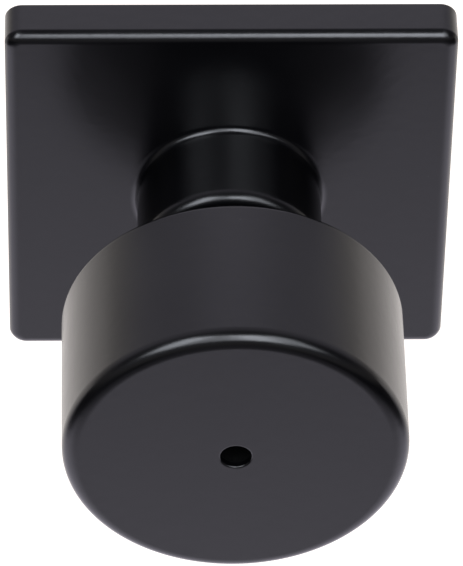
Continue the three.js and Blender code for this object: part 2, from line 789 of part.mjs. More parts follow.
function roseGroup() {
  const group = new THREE.Group();
  const sides = ['left', 'right'];
  group.add(part('rose_cover', roseCover(), 'satinBlack'));
  group.add(part('mounting_plate', mountingPlate(), 'zincPlate'));
  group.add(part('bearing_tube', bearingTube(), 'zincPlate'));
  group.add(part('front_bushing', bushing(FRONT_BUSHING), 'bronze'));
  group.add(part('rear_bushing', bushing(REAR_BUSHING), 'bronze'));
  group.add(part('spring_case', springCase(), 'zincPlate'));
  group.add(part('thrust_washer', thrustWasher(), 'bronze'));
  group.add(part('wave_washer', waveWasher(), 'springSteel'));
  group.add(part('return_spring', returnSpring(), 'springSteel'));
  ['top', 'bottom'].forEach((end, index) => {
    const [x, y] = SCREW_PLACES[index];
    group.add(placed(part(`case_screw_${end}`, caseScrew(), 'zincPlate'), x, y));
  });
  sides.forEach((side, index) => {
    const [postX, postY] = POST_PLACES[index];
    group.add(placed(part(`mounting_post_${side}`, mountingPost(), 'zincPlate'), postX, postY));
    const [stopX, stopY] = STOP_PLACES[index];
    group.add(placed(part(`stop_pin_${side}`, stopPin(), 'brightSteel'), stopX, stopY));
    const turn = side === 'left' ? Math.PI : 0;
    group.add(placed(part(`cover_clip_${side}`, coverClip(), 'springSteel'), 0, 0, turn));
    const [rivetX, rivetY] = RIVET_PLACES[index];
    group.add(placed(part(`clip_rivet_${side}`, clipRivet(), 'brightSteel'), rivetX, rivetY));
  });
  return group;
}

function knobGroup() {
  const group = new THREE.Group();
  group.add(part('knob_shell', knobShell(), 'satinBlack'));
  group.add(part('knob_back', knobBack(), 'satinBlack'));
  group.add(part('knob_core', knobCore(), 'castZinc'));
  group.add(part('knob_neck', knobNeck(), 'satinBlack'));
  group.add(placed(part('core_pin_right', corePin(), 'brightSteel'), 0, 0));
  group.add(placed(part('core_pin_left', corePin(), 'brightSteel'), 0, 0, Math.PI));
  group.add(part('drive_cam', driveCam(), 'zincPlate'));
  group.add(part('retaining_ring', retainingRing(), 'springSteel'));
  group.add(part('spindle_socket', spindleSocket(), 'zincPlate'));
  group.add(part('spindle', spindle(), 'zincPlate'));
  group.add(part('spindle_pin', spindlePin(), 'brightSteel'));
  group.add(part('release_guide', releaseGuide(), 'blackPlastic'));
  return group;
}

function releaseGroup() {
  const group = new THREE.Group();
  group.add(part('release_rod', releaseRod(), 'brightSteel'));
  group.add(part('release_head', releaseHead(), 'blackPlastic'));
  group.add(part('release_stop', releaseStop(), 'springSteel'));
  group.add(part('release_spring', releaseSpring(), 'springSteel'));
  return group;
}

const doorKnob = new THREE.Group();
doorKnob.add(roseGroup(), knobGroup(), releaseGroup());
doorKnob.rotation.x = Math.PI / 2;

export default doorKnob;
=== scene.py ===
"""Looks of the outside half of a privacy door knob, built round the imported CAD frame.

Pieces are drawn in millimetres as (across, up, out): across is +X, up is +Z and out is -Y, away from the
door, whose face is out = 0. Places and main sizes come from the boxes of the CAD nodes, and the sizes that
a box doesn't give, such as edge radii, are named below.
"""

import json
import math

import bmesh
import bpy
from mathutils import Matrix, Vector


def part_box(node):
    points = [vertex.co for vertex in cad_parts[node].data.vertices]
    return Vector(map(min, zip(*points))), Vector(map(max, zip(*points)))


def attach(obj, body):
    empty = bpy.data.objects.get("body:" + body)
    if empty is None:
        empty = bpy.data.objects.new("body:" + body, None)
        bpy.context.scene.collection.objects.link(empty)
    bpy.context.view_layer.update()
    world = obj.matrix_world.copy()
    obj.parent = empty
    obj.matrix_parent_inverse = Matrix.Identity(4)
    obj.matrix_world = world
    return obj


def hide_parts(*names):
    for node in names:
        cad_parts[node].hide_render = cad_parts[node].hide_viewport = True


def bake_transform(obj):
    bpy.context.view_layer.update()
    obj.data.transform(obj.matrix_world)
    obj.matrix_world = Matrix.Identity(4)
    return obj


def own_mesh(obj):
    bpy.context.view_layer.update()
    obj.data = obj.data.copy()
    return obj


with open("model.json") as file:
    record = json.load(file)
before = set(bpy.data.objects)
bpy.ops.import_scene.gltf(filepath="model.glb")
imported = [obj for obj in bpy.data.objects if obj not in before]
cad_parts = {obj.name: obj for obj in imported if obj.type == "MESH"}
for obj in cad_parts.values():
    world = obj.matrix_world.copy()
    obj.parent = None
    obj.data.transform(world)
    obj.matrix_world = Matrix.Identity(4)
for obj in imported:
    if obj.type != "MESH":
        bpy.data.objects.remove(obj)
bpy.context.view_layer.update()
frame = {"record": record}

MM = 0.001
QUARTER = math.pi / 2

# Camera, about a point in front of the door
CAMERA_AZIMUTH = math.radians(-2.098)
CAMERA_ELEVATION = math.radians(46.578)
CAMERA_ROLL = math.radians(1.302)
CAMERA_DISTANCE = 833.34
CAMERA_TARGET = (-0.14, 5.59, 30.32)
CAMERA_LENS = 360.27
CAMERA_SENSOR = 36.0

# Rose cover
ROSE_DEPTH = 6.7
ROSE_CORNER = 2.6
ROSE_EDGE = 1.8
ROSE_SLOPE = (0.70, 1.32)
ROSE_SHOULDER = 0.6
ROSE_WALL = 1.5
COLLAR_RADIUS = 13.8
COLLAR_EDGE = 2.1
COLLAR_ROOT = 1.2
COLLAR_MOUTH = 10.7

# Drum knob
DRUM_EDGE = 2.3
DRUM_BACK_EDGE = 0.8
SHELL_WALL = 1.0
RELEASE_HOLE = 2.22
RELEASE_HOLE_EDGE = 0.3

# Neck and spindle
NECK_RADIUS = 10.2
NECK_TAIL = 9.0
NECK_STEP = 2.9
NECK_FLAT = 8.0
NECK_FLATS_END = -1.4
SOCKET_BORE = 7.0
GUIDE_BORE = 8.0
GUIDE_SHOULDER = 30.0
CORE_PIN_HOLE = 1.35
SPINDLE_PIN_HOLE = 1.15
SPINDLE_WALL = 0.9

# Spring case, cam and return spring
CASE_WALL = 1.0
FLANGE_DEPTH = 1.2
TAIL_HOLE = 9.25
SCREW_HOLE = 1.7
SCREW_HEIGHT = 17.5
POST_HOLE = 2.7
RIVET_HOLE = 1.25
LEG_HOLE = 0.95
LUG_HALF_ANGLE = 10
CAM_RADIUS = 11.2
COIL_RADIUS = 11.8
COIL_WIRE = 0.75
COIL_TURNS = 3.5
COIL_BACK = -12.2
COIL_FRONT = -6.3
COIL_BEND = 1.4

# Emergency release
ROD_RADIUS = 1.5
RELEASE_COIL_RADIUS = 2.2
RELEASE_WIRE = 0.3
RELEASE_TURNS = 8

# Studio, in metres: the softboxes, the surround and the floor
SOFTBOX_DISTANCE = 1.2
SOFTBOX_TINT = (0.96, 1.0, 1.09)
COOL_TINT = (1.04, 1.0, 1.16)
WARM_TINT = (1.06, 1.0, 0.97)
SURROUND_EDGE = (-0.22, 0.45)
FRONT_TOP = (0.1, 0.45)
FRONT_BRIGHT = 0.2
FRONT_DARK = 0.02
WALL_SIDE = 1.45
WALL_TOP = (0.62, 0.85)
WALL_BRIGHT = 1.05
WALL_WARM = (0.4, 0.0)
CEILING_BRIGHT = 0.50
SEEN_WHITE = 1.2
FLOOR_HALF = 8.0
FLOOR_HEIGHT = -0.45
FLOOR_BRIGHT = 1.23
FLOOR_FAR = 1.0
FLOOR_FALLOFF = (0.5, 1.4)
FLOOR_FRONT = (-0.76, -0.28)
FLOOR_FRONT_FAR = 0.12
FLOOR_SIDE = (0.8, 0.5)
FLOOR_BEHIND = (-0.1, 0.4)

# Half length of a tool that cuts right through
THROUGH = 20

# Fineness: points round a turned piece, and the angle above which an edge stays crisp
FINE = 192
MEDIUM = 96
SMALL = 48
CRISP = math.radians(32)


class Extent:
    """A CAD node's box in millimetres across, up and out."""

    def __init__(self, node):
        low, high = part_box(node)
        self.left = low.x / MM
        self.right = high.x / MM
        self.bottom = low.z / MM
        self.top = high.z / MM
        self.back = -high.y / MM
        self.front = -low.y / MM
        self.radius = (self.top - self.bottom) / 2
        self.centre = ((self.left + self.right) / 2, (self.bottom + self.top) / 2)


def row(across, up, out):
    """A point in millimetres across, up and out, in the frame's metres."""
    return Vector((across * MM, -out * MM, up * MM))


# ---------------------------------------------------------------------------------------------------
# Outlines
# ---------------------------------------------------------------------------------------------------


def rounded(corners, closed=True, steps=6, support=0.05):
    """The outline through corners (u, v, radius). A rounded corner is an arc with a point on either side."""
    points = []
    for index, (u, v, radius) in enumerate(corners):
        if radius <= 0:
            points.append((u, v))
            continue
        here = Vector((u, v))
        before = Vector(corners[index - 1][:2]) - here
        after = Vector(corners[(index + 1) % len(corners)][:2]) - here
        opening = before.angle(after)
        reach = radius / math.tan(opening / 2)
        before.normalize()
        after.normalize()
        middle = here + (before + after).normalized() * radius / math.sin(opening / 2)
        first = here + before * reach - middle
        last = here + after * reach - middle
        start = math.atan2(first.y, first.x)
        sweep = math.atan2(first.x * last.y - first.y * last.x, first.dot(last))
        points.append(tuple(here + before * (reach + support)))
        for step in range(steps + 1):
            angle = start + sweep * step / steps
            points.append((middle.x + radius * math.cos(angle), middle.y + radius * math.sin(angle)))
        points.append(tuple(here + after * (reach + support)))
    return points


def arc(centre, radius, start, end, steps):
    """Points of an arc between two angles in degrees, both ends included."""
    points = []
    for step in range(steps + 1):
        angle = math.radians(start + (end - start) * step / steps)
        points.append((centre[0] + radius * math.cos(angle), centre[1] + radius * math.sin(angle)))
    return points


def circle(radius, sides, centre=(0, 0)):
    return arc(centre, radius, 0, 360, sides)[:-1]


def rounded_square(side, corner, per_corner=12, per_side=40):
    """A rounded square with points all along its straight sides as well."""
    flat = side / 2 - corner
    signs = ((1, 1), (-1, 1), (-1, -1), (1, -1))
    corners = []
    for turn, (across, up) in enumerate(signs):
        corners.append(arc((flat * across, flat * up), corner, 90 * turn, 90 * turn + 90, per_corner))
    points = []
    for turn, corner_points in enumerate(corners):
        points += corner_points
        start = Vector(corner_points[-1])
        end = Vector(corners[(turn + 1) % len(corners)][0])
        points += [tuple(start.lerp(end, step / per_side)) for step in range(1, per_side)]
    return points


def stadium(half_width, half_height, steps=32, per_side=14):
    """An upright outline with round ends, and with points all along its straight sides as well."""
    flat = half_height - half_width
    heights = [flat * (1 - 2 * step / per_side) for step in range(1, per_side)]
    points = arc((0, flat), half_width, 0, 180, steps)
    points += [(-half_width, height) for height in heights]
    points += arc((0, -flat), half_width, 180, 360, steps)
    points += [(half_width, -height) for height in heights]
    return points


def thread(core, crest, start, end, pitch=0.8):
    """Points (radius, out) of a thread's profile from start to end."""
    turns = int(abs(end - start) / pitch)
    step = (end - start) / turns / 2
    return [(crest if index % 2 else core, start + step * index) for index in range(2 * turns + 1)]


# ---------------------------------------------------------------------------------------------------
# Meshes
# ---------------------------------------------------------------------------------------------------


def shade(mesh):
    """Faces outward and smooth, with crisp edges where two faces meet at a clear angle."""
    bmesh.ops.recalc_face_normals(mesh, faces=mesh.faces)
    for face in mesh.faces:
        face.smooth = True
    for edge in mesh.edges:
        edge.smooth = len(edge.link_faces) == 2 and edge.calc_face_angle(0) < CRISP


def new_piece(name, mesh):
    shade(mesh)
    data = bpy.data.meshes.new(name)
    mesh.to_mesh(data)
    mesh.free()
    piece = bpy.data.objects.new(name, data)
    bpy.context.scene.collection.objects.link(piece)
    return piece


def loft(name, rings, closed=True):
    """A solid through rings of equally many points, closed on itself or by a flat face at each end."""
    mesh = bmesh.new()
    loops = [[mesh.verts.new(row(*point)) for point in ring] for ring in rings]
    count = len(loops[0])
    followers = loops[1:] + loops[:1] if closed else loops[1:]
    for first, second in zip(loops, followers):
        for index in range(count):
            after = (index + 1) % count
            mesh.faces.new((first[index], first[after], second[after], second[index]))
    if not closed:
        mesh.faces.new(loops[0])
        mesh.faces.new(loops[-1])
    return new_piece(name, mesh)


def turned(name, outline, sides=MEDIUM, centre=(0, 0)):
    """A ring-shaped solid turned about the out direction, from a closed outline of (radius, out)."""
    rings = []
    for radius, out in outline:
        rings.append([(across, up, out) for across, up in circle(radius, sides, centre)])
    return loft(name, rings)


def turned_solid(name, outline, sides=SMALL, centre=(0, 0)):
    """A turned solid whose outline of (radius, out) starts and ends on the axis."""
    mesh = bmesh.new()
    tips = [mesh.verts.new(row(*centre, outline[end][1])) for end in (0, -1)]
    loops = []
    for radius, out in outline[1:-1]:
        loops.append([mesh.verts.new(row(*point, out)) for point in circle(radius, sides, centre)])
    for first, second in zip(loops, loops[1:]):
        for index in range(sides):
            after = (index + 1) % sides
            mesh.faces.new((first[index], first[after], second[after], second[index]))
    for tip, loop in zip(tips, (loops[0], loops[-1])):
        for index in range(sides):
            mesh.faces.new((tip, loop[index], loop[(index + 1) % sides]))
    return new_piece(name, mesh)


def shifted(loop, distance):
    """The closed outline moved sideways by distance, towards the left of its direction."""
    moved = []
    for index, point in enumerate(loop):
        here = Vector(point)
        before = (here - Vector(loop[index - 1])).normalized()
        after = (Vector(loop[(index + 1) % len(loop)]) - here).normalized()
        along = (before + after).normalized()
        reach = distance / max(0.5, along.dot(before))
        moved.append((here.x - along.y * reach, here.y + along.x * reach))
    return moved


def plate(name, outer, holes, back, front, edge=0.12, steps=3):
    """A flat sheet with holes. outer and each hole are anticlockwise outlines, and every edge is rounded."""
    mesh = bmesh.new()
    rims = {back: [], front: []}
    for loop, side in [(outer, 1)] + [(hole, -1) for hole in holes]:
        levels = []
        for step in range(steps + 1):
            angle = QUARTER * step / steps
            levels.append((edge * (1 - math.sin(angle)), edge * (1 - math.cos(angle))))
        rings = [(inset, back + rise) for inset, rise in levels]
        rings += [(inset, front - rise) for inset, rise in reversed(levels)]
        loops = []
        for inset, out in rings:
            points = shifted(loop, side * inset)
            loops.append([mesh.verts.new(row(*point, out)) for point in points])
        for first, second in zip(loops, loops[1:]):
            for index in range(len(loop)):
                after = (index + 1) % len(loop)
                mesh.faces.new((first[index], first[after], second[after], second[index]))
        for out, rim in ((back, loops[0]), (front, loops[-1])):
            rims[out] += [mesh.edges.get((rim[index - 1], rim[index])) for index in range(len(rim))]
    for edges in rims.values():
        bmesh.ops.triangle_fill(mesh, edges=edges, use_beauty=True)
    return new_piece(name, mesh)


def wire(name, points, radius, sides=16):
    """A round wire along points, with a small chamfer at each end."""
    path = [Vector(point) for point in points]
    side = (path[1] - path[0]).orthogonal().normalized()
    rings = []
    for index, here in enumerate(path):
        along = (path[min(index + 1, len(path) - 1)] - path[max(index - 1, 0)]).normalized()
        side = (side - along * side.dot(along)).normalized()
        across = along.cross(side)
        at_end = index in (0, len(path) - 1)
        size = radius * (0.7 if at_end else 1)
        ring = []
        for step in range(sides):
            angle = 2 * math.pi * step / sides
            ring.append(here + (side * math.cos(angle) + across * math.sin(angle)) * size)
        rings.append(ring)
    return loft(name, rings, closed=False)


def combined(piece, tools, operation):
    """The piece with other solids joined to it or cut from it; the other solids are used up."""
    for tool in tools:
        modifier = piece.modifiers.new(operation, "BOOLEAN")
        modifier.operation = operation
        modifier.solver = "EXACT"
        modifier.object = tool
    bpy.context.view_layer.update()
    result = piece.evaluated_get(bpy.context.evaluated_depsgraph_get())
    mesh = bmesh.new()
    mesh.from_mesh(result.data)
    piece.modifiers.clear()
    for tool in tools:
        bpy.data.objects.remove(tool)
    shade(mesh)
    mesh.to_mesh(piece.data)
    mesh.free()
    return piece


def cutter(outline, back, front):
    """A straight-sided tool for a hole of any outline."""
    return loft("tool", [[(*point, out) for point in outline] for out in (back, front)], closed=False)


def lying(piece, out):
    """Turns a piece that was drawn along out so that it lies along across, at that distance out."""
    piece.data.transform(Matrix.Translation(row(0, 0, out)) @ Matrix.Rotation(QUARTER, 4, "Z"))
    return piece


def mirrored(piece, side):
    """The piece as drawn for the right side, or turned half round for the left."""
    if side == "left":
        piece.data.transform(Matrix.Rotation(2 * QUARTER, 4, "Y"))
    return piece


# ---------------------------------------------------------------------------------------------------
# Materials
# ---------------------------------------------------------------------------------------------------


class Finish:
    """A new material with its surface shader, and short ways to add procedural detail in real sizes."""

    def __init__(self, name, metallic, roughness, ior=1.5):
        self.material = bpy.data.materials.new(name)
        self.material.use_nodes = True
        self.nodes = self.material.node_tree.nodes
        self.links = self.material.node_tree.links
        self.surface = self.nodes["Principled BSDF"]
        self.surface.inputs["Metallic"].default_value = metallic
        self.surface.inputs["Roughness"].default_value = roughness
        self.surface.inputs["IOR"].default_value = ior
        self.place = self.nodes.new("ShaderNodeTexCoord").outputs["Object"]

    def noise(self, size, detail=2.0, stretch=(1, 1, 1)):
        """Noise whose features are about size millimetres, stretched along the axes."""
        mapping = self.nodes.new("ShaderNodeMapping")
        mapping.inputs["Scale"].default_value = [1 / factor for factor in stretch]
        self.links.new(self.place, mapping.inputs["Vector"])
        texture = self.nodes.new("ShaderNodeTexNoise")
        texture.inputs["Scale"].default_value = 1 / (size * MM)
        texture.inputs["Detail"].default_value = detail
        self.links.new(mapping.outputs["Vector"], texture.inputs["Vector"])
        return texture.outputs[0]

    def specks(self, spacing, size):
        """1 at the middle of sparse specks, in millimetres, and 0 elsewhere."""
        texture = self.nodes.new("ShaderNodeTexVoronoi")
        texture.inputs["Scale"].default_value = 1 / (spacing * MM)
        self.links.new(self.place, texture.inputs["Vector"])
        return self.mapped(texture.outputs["Distance"], size / spacing, 0, 0, 1)

    def mapped(self, value, low, high, to_low, to_high):
        ranges = self.nodes.new("ShaderNodeMapRange")
        for socket, number in zip(ranges.inputs[1:5], (low, high, to_low, to_high)):
            socket.default_value = number
        self.links.new(value, ranges.inputs[0])
        return ranges.outputs[0]

    def mixed(self, share, first, second):
        mix = self.nodes.new("ShaderNodeMix")
        mix.data_type = "RGBA"
        self.links.new(share, mix.inputs["Factor"])
        for socket, colour in ((mix.inputs[6], first), (mix.inputs[7], second)):
            if isinstance(colour, tuple):
                socket.default_value = (*colour, 1)
            else:
                self.links.new(colour, socket)
        return mix.outputs[2]

    def colour(self, value):
        self.links.new(value, self.surface.inputs["Base Color"])

    def roughness(self, value):
        self.links.new(value, self.surface.inputs["Roughness"])

    def bump(self, height, depth, strength=1.0):
        """Relief of depth millimetres, added over any relief already there."""
        node = self.nodes.new("ShaderNodeBump")
        node.inputs["Strength"].default_value = strength
        node.inputs["Distance"].default_value = depth * MM
        self.links.new(height, node.inputs["Height"])
        normal = self.surface.inputs["Normal"]
        if normal.is_linked:
            self.links.new(normal.links[0].from_socket, node.inputs["Normal"])
        self.links.new(node.outputs["Normal"], normal)


def satin_black():
    """Baked black coat: very dark, even satin, with a faint orange peel and a few specks of dust."""
    finish = Finish("satin_black", metallic=0.0, roughness=0.25)
    patches = finish.noise(9.0, detail=3)
    grain = finish.noise(0.22, detail=2)
    shade_of_black = finish.mixed(patches, (0.0008, 0.0008, 0.0011), (0.0012, 0.0012, 0.0016))
    dust = finish.specks(spacing=4.5, size=0.10)
    finish.colour(finish.mixed(dust, shade_of_black, (0.06, 0.06, 0.06)))
    finish.roughness(finish.mapped(patches, 0.3, 0.7, 0.23, 0.27))
    finish.bump(grain, depth=0.004)
    finish.bump(finish.noise(1.6, detail=1), depth=0.012)
    return finish.material


def zinc_plate():
    """Pressed steel with bright zinc plating: cool, slightly blotchy and softly polished."""
    finish = Finish("zinc_plate", metallic=1.0, roughness=0.34)
    blotches = finish.noise(5.0, detail=4)
    finish.colour(finish.mixed(blotches, (0.60, 0.62, 0.66), (0.70, 0.70, 0.68)))
    finish.roughness(finish.mapped(finish.noise(1.2, detail=4), 0.3, 0.7, 0.26, 0.46))
    finish.bump(finish.noise(0.35, detail=3), depth=0.006)
    finish.bump(finish.noise(0.5, detail=2, stretch=(1, 1, 8)), depth=0.003)
    return finish.material


def bright_steel():
    """Ground steel pins and rods, with fine turned lines round them."""
    finish = Finish("bright_steel", metallic=1.0, roughness=0.25)
    finish.colour(finish.mixed(finish.noise(3.0), (0.62, 0.63, 0.65), (0.72, 0.72, 0.73)))
    lines = finish.noise(0.6, detail=3, stretch=(6, 0.25, 6))
    finish.roughness(finish.mapped(lines, 0.3, 0.7, 0.18, 0.34))
    finish.bump(lines, depth=0.003)
    return finish.material


def spring_steel():
    """Dark oil-tempered wire and strip."""
    finish = Finish("spring_steel", metallic=1.0, roughness=0.35)
    stains = finish.noise(2.0, detail=4)
    finish.colour(finish.mixed(stains, (0.30, 0.31, 0.34), (0.46, 0.45, 0.44)))
    finish.roughness(finish.mapped(stains, 0.3, 0.7, 0.28, 0.42))
    finish.bump(finish.noise(0.15, detail=2), depth=0.004)
    return finish.material


def cast_zinc():
    """Dull, slightly grainy die casting."""
    finish = Finish("cast_zinc", metallic=1.0, roughness=0.5)
    grain = finish.noise(0.4, detail=5)
    finish.colour(finish.mixed(grain, (0.44, 0.45, 0.47), (0.56, 0.57, 0.58)))
    finish.roughness(finish.mapped(grain, 0.3, 0.7, 0.42, 0.62))
    finish.bump(grain, depth=0.02)
    return finish.material


def bronze():
    """Sintered bronze with dark oil-filled pores."""
    finish = Finish("bronze", metallic=1.0, roughness=0.4)
    pores = finish.specks(spacing=0.3, size=0.12)
    finish.colour(finish.mixed(pores, (0.66, 0.46, 0.24), (0.20, 0.13, 0.07)))
    finish.roughness(finish.mapped(finish.noise(0.8), 0.3, 0.7, 0.34, 0.5))
    finish.bump(finish.noise(0.2, detail=3), depth=0.006)
    return finish.material


def black_plastic():
    """Moulded black plastic with a fine spark-eroded texture."""
    finish = Finish("black_plastic", metallic=0.0, roughness=0.3, ior=1.46)
    texture = finish.noise(0.12, detail=3)
    finish.colour(finish.mixed(texture, (0.002, 0.002, 0.002), (0.004, 0.004, 0.004)))
    finish.roughness(finish.mapped(texture, 0.3, 0.7, 0.24, 0.38))
    finish.bump(texture, depth=0.008)
    return finish.material


MATERIALS = {
    maker.__name__: maker()
    for maker in (satin_black, zinc_plate, bright_steel, spring_steel, cast_zinc, bronze, black_plastic)
}
SLOTS = {entry["node"]: entry["material_slot"] for entry in frame["record"]["subparts"]}
BODIES = {
    node: body for body, nodes in frame["record"]["behaviour"]["bodies"].items() for node in nodes
}


def install(piece, node, rides=True):
    """Finishes a piece: its material, the CAD node that it stands for and the body that it moves with."""
    piece.data.materials.clear()
    piece.data.materials.append(MATERIALS[SLOTS[node]])
    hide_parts(node)
    if rides:
        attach(piece, BODIES[node])
    return piece


# ---------------------------------------------------------------------------------------------------
# Rose and the parts clamped to the door
# ---------------------------------------------------------------------------------------------------


def make_rose_cover():
    """Square cover and its collar from one sheet: square rings that turn into round ones at the collar."""
    size = Extent("rose_cover")
    half = size.radius
    inner = half - ROSE_WALL
    collar_inner = COLLAR_RADIUS - ROSE_WALL
    under = ROSE_DEPTH - ROSE_WALL
    outline = rounded([
        (half, 0, 0.2),
        (half, ROSE_DEPTH - ROSE_SLOPE[1], ROSE_SHOULDER),
        (half - ROSE_SLOPE[0], ROSE_DEPTH, ROSE_EDGE),
        (COLLAR_RADIUS, ROSE_DEPTH, COLLAR_ROOT),
        (COLLAR_RADIUS, size.front, COLLAR_EDGE),
        (COLLAR_MOUTH, size.front, 0.3),
        (COLLAR_MOUTH, size.front - ROSE_WALL, 0.15),
        (collar_inner, size.front - ROSE_WALL, 0.2),
        (collar_inner, under, 0.8),
        (inner, under, 0.3),
        (inner, 0, 0.15),
    ], steps=10)
    directions = [math.atan2(up, across) for across, up in rounded_square(2 * half, ROSE_CORNER)]
    rings = []
    for distance, out in outline:
        if distance > (COLLAR_RADIUS + inner) / 2:
            points = rounded_square(2 * distance, ROSE_CORNER - (half - distance))
        else:
            points = [(distance * math.cos(angle), distance * math.sin(angle)) for angle in directions]
        rings.append([(across, up, out) for across, up in points])
    install(loft("rose_cover_look", rings), "rose_cover")


def make_mounting_plate():
    size = Extent("mounting_plate")
    post = Extent("mounting_post_right").centre[0]
    rivet = Extent("clip_rivet_right").centre[0]
    holes = [circle(TAIL_HOLE, MEDIUM)]
    holes += [circle(POST_HOLE, SMALL, (side * post, 0)) for side in (-1, 1)]
    holes += [circle(RIVET_HOLE, SMALL, (side * rivet, 0)) for side in (-1, 1)]
    holes += [circle(SCREW_HOLE, SMALL, (0, side * SCREW_HEIGHT)) for side in (-1, 1)]
    for side in ("left", "right"):
        pin = Extent(f"stop_pin_{side}")
        holes.append(circle(pin.radius + 0.15, SMALL, pin.centre))
    outer = rounded_square(2 * size.radius, 4)
    install(plate("mounting_plate_look", outer, holes, size.back, size.front, edge=0.25), "mounting_plate")


def screw_holes(back, front):
    return [
        cutter(circle(SCREW_HOLE, SMALL, (0, side * SCREW_HEIGHT)), back, front) for side in (-1, 1)
    ]


def flanged(name, outline, flange_from, half_width, half_height):
    """A drawn cup or tube whose flange is a stadium: round rings that turn into the flange's outline."""
    flat = stadium(half_width, half_height)
    directions = [math.atan2(up, across) for across, up in flat]
    rings = []
    for distance, out in outline:
        if distance > flange_from:
            points = shifted(flat, half_width - distance)
        else:
            points = [(distance * math.cos(angle), distance * math.sin(angle)) for angle in directions]
        rings.append([(across, up, out) for across, up in points])
    return loft(name, rings)


def make_bearing_tube():
    size = Extent("bearing_tube")
    half_width = (size.right - size.left) / 2
    half_height = (size.top - size.bottom) / 2
    bore = 11.15
    tube = 11.95
    flange = size.back + FLANGE_DEPTH
    outline = rounded([
        (bore, size.back, 0.3),
        (half_width, size.back, 0.15),
        (half_width, flange, 0.15),
        (tube, flange, 0.5),
        (tube, size.front, 0.2),
        (bore, size.front, 0.2),
    ])
    piece = flanged("bearing_tube_look", outline, (tube + half_width) / 2, half_width, half_height)
    combined(piece, screw_holes(size.back - 1, flange + 1), "DIFFERENCE")
    install(piece, "bearing_tube")


def make_spring_case():
    size = Extent("spring_case")
    half_width = (size.right - size.left) / 2
    half_height = (size.top - size.bottom) / 2
    flange = size.front - FLANGE_DEPTH
    cup = half_width - 0.4
    outline = rounded([
        (TAIL_HOLE, size.back, 0.15),
        (cup, size.back, 1.2),
        (cup, flange, 0.15),
        (half_width, flange, 0.15),
        (half_width, size.front, 0.15),
        (cup - CASE_WALL, size.front, 0.3),
        (cup - CASE_WALL, size.back + CASE_WALL, 0.5),
        (TAIL_HOLE, size.back + CASE_WALL, 0.15),
    ])
    piece = flanged("spring_case_look", outline, cup + 0.05, half_width, half_height)
    leg = cutter(circle(LEG_HOLE, SMALL, (0, -COIL_RADIUS)), size.back - 1, size.back + 2)
    combined(piece, [leg] + screw_holes(flange - 1, size.front + 1), "DIFFERENCE")
    install(piece, "spring_case")


def make_mounting_post(side):
    """Post staked in the plate, with its thread cut from the end."""
    node = f"mounting_post_{side}"
    size = Extent(node)
    shank = 3.5
    tenon = 2.5
    bore = 1.9
    bottom = -8
    head_back = size.front - 1.1
    bore_cone = [(0, bottom + 1), (bore, bottom)]
    outline = bore_cone + thread(bore, bore + 0.28, bottom - 1, size.back + 0.9) + rounded([
        (bore + 0.5, size.back, 0),
        (shank, size.back, 0.45),
        (shank, -0.3, 0.2),
        (tenon, -0.3, 0),
        (tenon, head_back, 0),
        (size.radius, head_back, 0.2),
        (size.radius, size.front, 0.5),
        (0, size.front, 0),
    ])
    install(turned_solid(f"{node}_look", outline, SMALL, size.centre), node)


def make_case_screw(end):
    """Pan-head screw with a cross recess."""
    node = f"case_screw_{end}"
    size = Extent(node)
    shank = 1.45
    under = size.front - 1.4
    outline = [(0, size.back), (1.0, size.back)]
    outline += thread(shank, shank - 0.25, size.back + 0.4, under - 1.2, pitch=0.5)
    outline += rounded([
        (shank, under, 0),
        (size.radius, under, 0.15),
        (size.radius, size.front, 0.7),
        (0, size.front, 0),
    ])
    piece = turned_solid(f"{node}_look", outline, SMALL, size.centre)
    across, up = size.centre
    for wide, high in ((1.4, 0.3), (0.3, 1.4)):
        corners = ((wide, high), (-wide, high), (-wide, -high), (wide, -high))
        slot = cutter([(across + x, up + y) for x, y in corners], size.front - 0.7, size.front + 1)
        combined(piece, [slot], "DIFFERENCE")
    install(piece, node)


def make_pin(node, edge=0.2):
    """A plain pin along the out direction, with rounded ends."""
    size = Extent(node)
    outline = rounded([
        (0, size.back, 0),
        (size.radius, size.back, edge),
        (size.radius, size.front, edge),
        (0, size.front, 0),
    ])
    install(turned_solid(f"{node}_look", outline, SMALL, size.centre), node)


def make_lying_pin(node, edge=0.15):
    """A plain pin along the across direction."""
    size = Extent(node)
    outline = rounded([
        (0, size.left, 0),
        (size.radius, size.left, edge),
        (size.radius, size.right, edge),
        (0, size.right, 0),
    ])
    piece = turned_solid(f"{node}_look", outline, SMALL)
    install(lying(piece, (size.back + size.front) / 2), node)


def make_cover_clip(side):
    """Leaf of spring steel with rounded bends: a riveted foot and an arm that presses on the cover."""
    node = f"cover_clip_{side}"
    size = Extent(node)
    sheet = 0.5
    foot = size.back
    root = min(abs(size.left), abs(size.right))
    tip = max(abs(size.left), abs(size.right))
    leaf = rounded([
        (root, foot, 0.05),
        (tip - 1.35, foot, 0.6),
        (tip, foot + 1.3, 0.5),
        (tip - 0.65, size.front, 0.05),
        (tip - 0.65 - sheet, size.front, 0.05),
        (tip - 1.2 * sheet, foot + 1.3, 0.1),
        (tip - 1.35 - 0.4 * sheet, foot + sheet, 0.2),
        (root, foot + sheet, 0.05),
    ], support=0.02)
    piece = plate(f"{node}_look", leaf, [], -size.radius, size.radius, edge=0.06)
    piece.data.transform(Matrix.Rotation(QUARTER, 4, "X"))
    rivet = Extent("clip_rivet_right").centre[0]
    combined(piece, [cutter(circle(RIVET_HOLE, SMALL, (rivet, 0)), 0, size.front)], "DIFFERENCE")
    install(mirrored(piece, side), node)


def make_clip_rivet(side):
    node = f"clip_rivet_{side}"
    size = Extent(node)
    shank = 1.1
    head = size.front - 0.8
    outline = rounded([
        (0, size.back, 0),
        (shank, size.back, 0.15),
        (shank, head, 0),
        (size.radius, head, 0.1),
        (size.radius, size.front, 0.6),
        (0, size.front, 0),
    ])
    install(turned_solid(f"{node}_look", outline, SMALL, size.centre), node)


